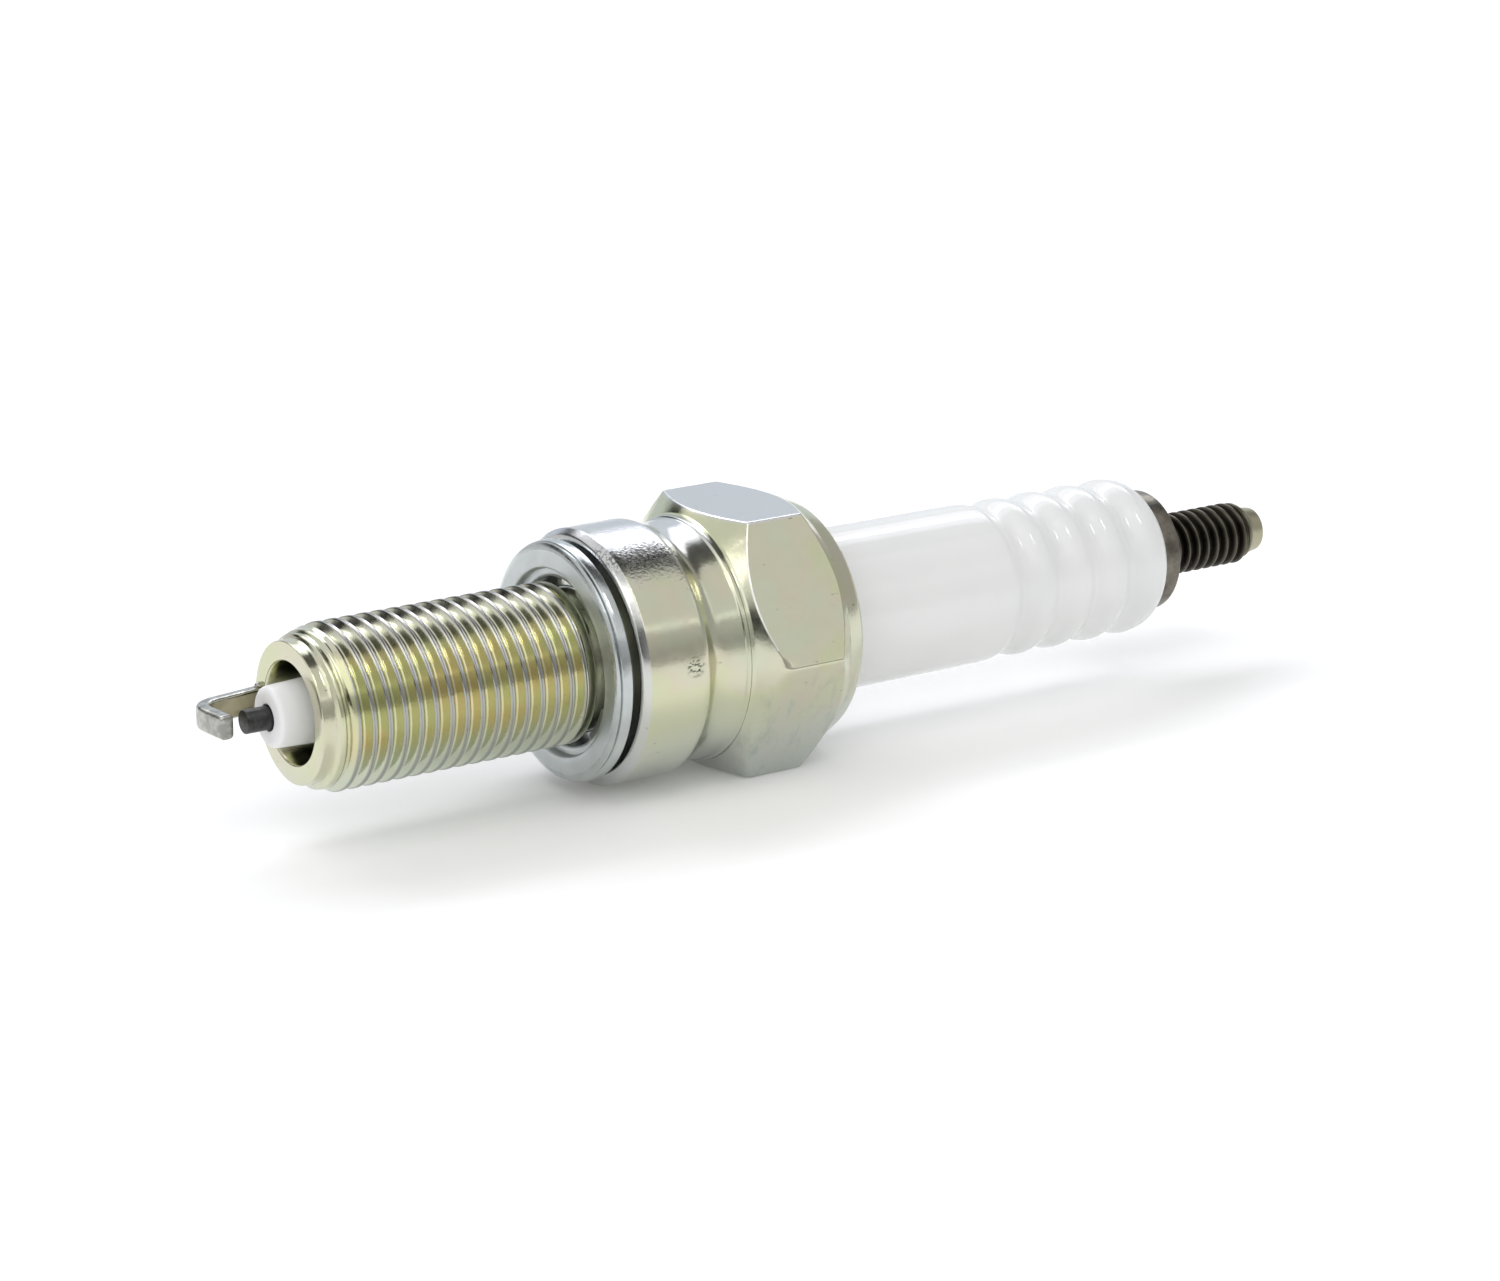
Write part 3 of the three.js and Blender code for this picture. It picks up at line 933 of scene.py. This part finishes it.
def strap_piece(material, inner_material):
    grid = strap_grid()
    flash = weld_bead((-19.52, 3.62, 0.05), (0.4, 0.42, 0.86))
    peak = weld_bead((-19.54, 3.55, 0.74), (0.28, 0.3, 0.24))
    obj = mesh_from_grids("strap_fine", [grid, flash, peak], caps=[grid[0], grid[-1]])
    finish_piece(obj, material, "plug", "ground_electrode")
    obj.data.materials.append(inner_material)
    middle = Vector((NOSE_X + CORNER_X + 1, 0.5, 0)) * MM
    for face in obj.data.polygons:
        inward = face.normal.dot((middle - face.center).normalized())
        flat = abs(face.normal.z) < 0.5
        if inward > 0.35 and flat and face.center.y > (STRAP_LOW.y + 0.2) * MM:
            face.material_index = 1


# ---- Stage ----
def make_floor():
    look = Look("pale_floor")
    look.set(Metallic=0.0)
    look.set(Emission_Color=(1.0, 0.98, 0.94, 1.0), Emission_Strength=0.1)
    color = look.ramp(look.noise(0.02, 3), [(0.3, (0.93, 0.93, 0.93)), (0.7, (0.95, 0.95, 0.95))])
    roughness = look.between(look.noise(0.1, 3), 0.3, 0.7, 0.7, 0.8)
    look.finish(color, roughness, look.bump(look.noise(0.5, 3), 0.01))
    height = CAD_BOX[0].z
    mesh = bpy.data.meshes.new("floor")
    corners = [(FLOOR_HALF * x, FLOOR_HALF * y, height) for x, y in ((-1, -1), (1, -1), (1, 1), (-1, 1))]
    mesh.from_pydata(corners, [], [(0, 1, 2, 3)])
    floor = bpy.data.objects.new("floor", mesh)
    bpy.context.collection.objects.link(floor)
    mesh.materials.append(look.material)


def make_camera():
    back = Vector((
        math.sin(CAMERA_AZIMUTH) * math.cos(CAMERA_ELEVATION),
        -math.cos(CAMERA_AZIMUTH) * math.cos(CAMERA_ELEVATION),
        math.sin(CAMERA_ELEVATION),
    ))
    camera = bpy.data.objects.new("camera", bpy.data.cameras.new("camera"))
    camera.data.sensor_width = 36.0
    camera.data.lens = CAMERA_LENS
    camera.data.clip_start = 0.01
    camera.data.clip_end = 50.0
    camera.location = CAMERA_AIM + back * CAMERA_DISTANCE
    camera.rotation_mode = "QUATERNION"
    camera.rotation_quaternion = back.to_track_quat("Z", "Y")
    bpy.context.collection.objects.link(camera)
    bpy.context.scene.camera = camera


def panel(name, turn, distance, start_x, end_x, width, radiance, tint=(1, 1, 1)):
    """A soft box parallel to the plug; turn is its place round the axis, radiance how bright it looks."""
    light = bpy.data.lights.new(name, "AREA")
    light.shape = "RECTANGLE"
    light.size = end_x - start_x
    light.size_y = width
    light.energy = radiance * math.pi * light.size * light.size_y
    light.color = tint
    outward = Vector((0, math.cos(math.radians(turn)), math.sin(math.radians(turn))))
    obj = bpy.data.objects.new(name, light)
    obj.location = outward * distance + Vector(((start_x + end_x) / 2, 0, 0))
    obj.rotation_euler = (math.radians(turn - 90), 0, 0)
    bpy.context.collection.objects.link(obj)


def turn_ramp(tree, turn, stops):
    """Brightness of the studio's walls by the angle round the plug: 0 behind, 90 above, 180 in front."""
    ramp = tree.nodes.new("ShaderNodeValToRGB")
    elements = ramp.color_ramp.elements
    while len(elements) < len(stops):
        elements.new(1.0)
    for element, (angle, color) in zip(elements, stops):
        element.position = 0.75 - angle / 360
        element.color = (*color, 1)
    tree.links.new(turn, ramp.inputs["Fac"])
    return ramp.outputs["Color"]


def gray(value):
    return (value, value, value)


def turn_round_plug(tree, parts):
    """The direction's angle round the plug's axis, as a share of a full turn."""
    angle = tree.nodes.new("ShaderNodeMath")
    angle.operation = "ARCTAN2"
    tree.links.new(parts["Y"], angle.inputs[0])
    tree.links.new(parts["Z"], angle.inputs[1])
    turn = tree.nodes.new("ShaderNodeMath")
    turn.operation = "MULTIPLY_ADD"
    turn.inputs[1].default_value = 1 / FULL_TURN
    turn.inputs[2].default_value = 0.5
    tree.links.new(angle.outputs[0], turn.inputs[0])
    return turn.outputs[0]


def make_world():
    """Studio walls that change round the plug, with other walls towards its left and at both ends."""
    world = bpy.data.worlds.new("studio")
    bpy.context.scene.world = world
    world.use_nodes = True
    tree = world.node_tree
    coord = tree.nodes.new("ShaderNodeTexCoord")
    separate = tree.nodes.new("ShaderNodeSeparateXYZ")
    tree.links.new(coord.outputs["Generated"], separate.inputs[0])
    parts = separate.outputs
    turn = turn_round_plug(tree, parts)
    right = turn_ramp(tree, turn, [
        (200, gray(0.57)), (178, gray(0.5)), (170, gray(0.42)), (158, gray(0.58)), (148, gray(0.58)),
        (144, gray(0.1)), (72, gray(0.1)), (34, gray(0.1)), (27, (0.8, 0.86, 0.92)), (0, (0.66, 0.71, 0.78)),
    ])
    left = turn_ramp(tree, turn, [
        (200, gray(0.5)), (178, gray(0.4)), (150, gray(0.55)), (96, gray(0.8)), (50, gray(0.85)),
        (28, gray(0.95)), (25, gray(0.02)), (15, gray(0.02)), (11, gray(0.72)), (0, gray(0.75)),
    ])
    left_end = turn_ramp(tree, turn, [
        (205, gray(0.5)), (198, gray(0.02)), (140, gray(0.02)),
        (132, gray(0.7)), (60, gray(0.8)), (0, gray(0.75)),
    ])
    right_end = turn_ramp(tree, turn, [(200, gray(0.5)), (0, gray(0.5))])
    walls = blend_by_x(tree, parts["X"], -0.02, -0.15, right, left)
    walls = blend_by_x(tree, parts["X"], -0.80, -0.88, walls, left_end)
    walls = blend_by_x(tree, parts["X"], 0.74, 0.82, walls, right_end)
    tree.links.new(walls, tree.nodes["Background"].inputs["Color"])
    bpy.context.scene.view_settings.view_transform = "Standard"


def blend_by_x(tree, x, start, end, a, b):
    """Color a before start, color b past end, and a soft change between."""
    share = tree.nodes.new("ShaderNodeMapRange")
    share.interpolation_type = "SMOOTHSTEP"
    share.inputs["From Min"].default_value = start
    share.inputs["From Max"].default_value = end
    tree.links.new(x, share.inputs["Value"])
    mixer = tree.nodes.new("ShaderNodeMixRGB")
    tree.links.new(share.outputs["Result"], mixer.inputs["Fac"])
    tree.links.new(a, mixer.inputs["Color1"])
    tree.links.new(b, mixer.inputs["Color2"])
    return mixer.outputs["Color"]


def square_light(name, place, size, radiance):
    """A square soft box that faces the plug."""
    light = bpy.data.lights.new(name, "AREA")
    light.size = size
    light.energy = radiance * math.pi * size**2
    obj = bpy.data.objects.new(name, light)
    obj.location = place
    obj.rotation_euler = Vector(place).to_track_quat("Z", "Y").to_euler()
    bpy.context.collection.objects.link(obj)


def make_lights():
    panel("back_strip", 50, 0.6, -0.2, 0.66, 0.36, 1.5, (0.95, 0.97, 1.07))
    panel("back_strip_core", 51, 0.58, -0.2, 0.6, 0.09, 3.2)
    panel("front_panel", 123, 0.7, -1.05, 1.0, 0.72, 0.7)
    panel("front_glint", 118, 0.66, 0.03, 0.09, 0.18, 9.0)
    square_light("left_panel", (-0.55, 0.03, 0.30), 0.26, 1.3)


def dress_inner_nodes():
    """The sealed inner pieces keep their CAD shapes and get materials of their own."""
    steel_colors = ((0.4, 0.41, 0.43), (0.6, 0.61, 0.63))
    seal_colors = ((0.05, 0.06, 0.055), (0.12, 0.14, 0.13))
    copper_colors = ((0.6, 0.3, 0.18), (0.75, 0.42, 0.28))
    resistor_colors = ((0.01, 0.01, 0.011), (0.05, 0.05, 0.05))
    talc_colors = ((0.7, 0.68, 0.63), (0.82, 0.8, 0.75))
    steel = plain_look("packing_steel", steel_colors, metallic=1.0, rough=0.4, per_mm=1.0, depth=0.006)
    seal = plain_look("seal_glass", seal_colors, metallic=0.2, rough=0.22, per_mm=1.0, depth=0.004)
    copper = plain_look("copper", copper_colors, metallic=1.0, rough=0.35, per_mm=1.0, depth=0.004)
    resistor = plain_look("resistor_mix", resistor_colors, metallic=0.0, rough=0.8, per_mm=3.0, depth=0.02)
    talc = plain_look("talc", talc_colors, metallic=0.0, rough=0.92, per_mm=4.0, depth=0.02)
    looks = {
        "center_electrode_core": copper,
        "lower_glass_seal": seal,
        "upper_glass_seal": seal,
        "resistor_element": resistor,
        "talc_packing": talc,
        "seat_packing": steel,
        "lower_packing_ring": steel,
        "upper_packing_ring": steel,
    }
    for node, look in looks.items():
        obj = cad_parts[node]
        for material_slot in obj.material_slots:
            material_slot.material = look


def build():
    make_camera()
    make_world()
    make_lights()
    make_floor()
    shell_piece(plated_steel(), worn_edge_and_painted_highlight())
    gasket_piece(zinc_steel())
    insulator_piece(glazed_alumina())
    electrode_piece(dark_nickel())
    stud_piece(dark_steel())
    strap_piece(nickel_alloy(), strap_inner())
    dress_inner_nodes()


build()
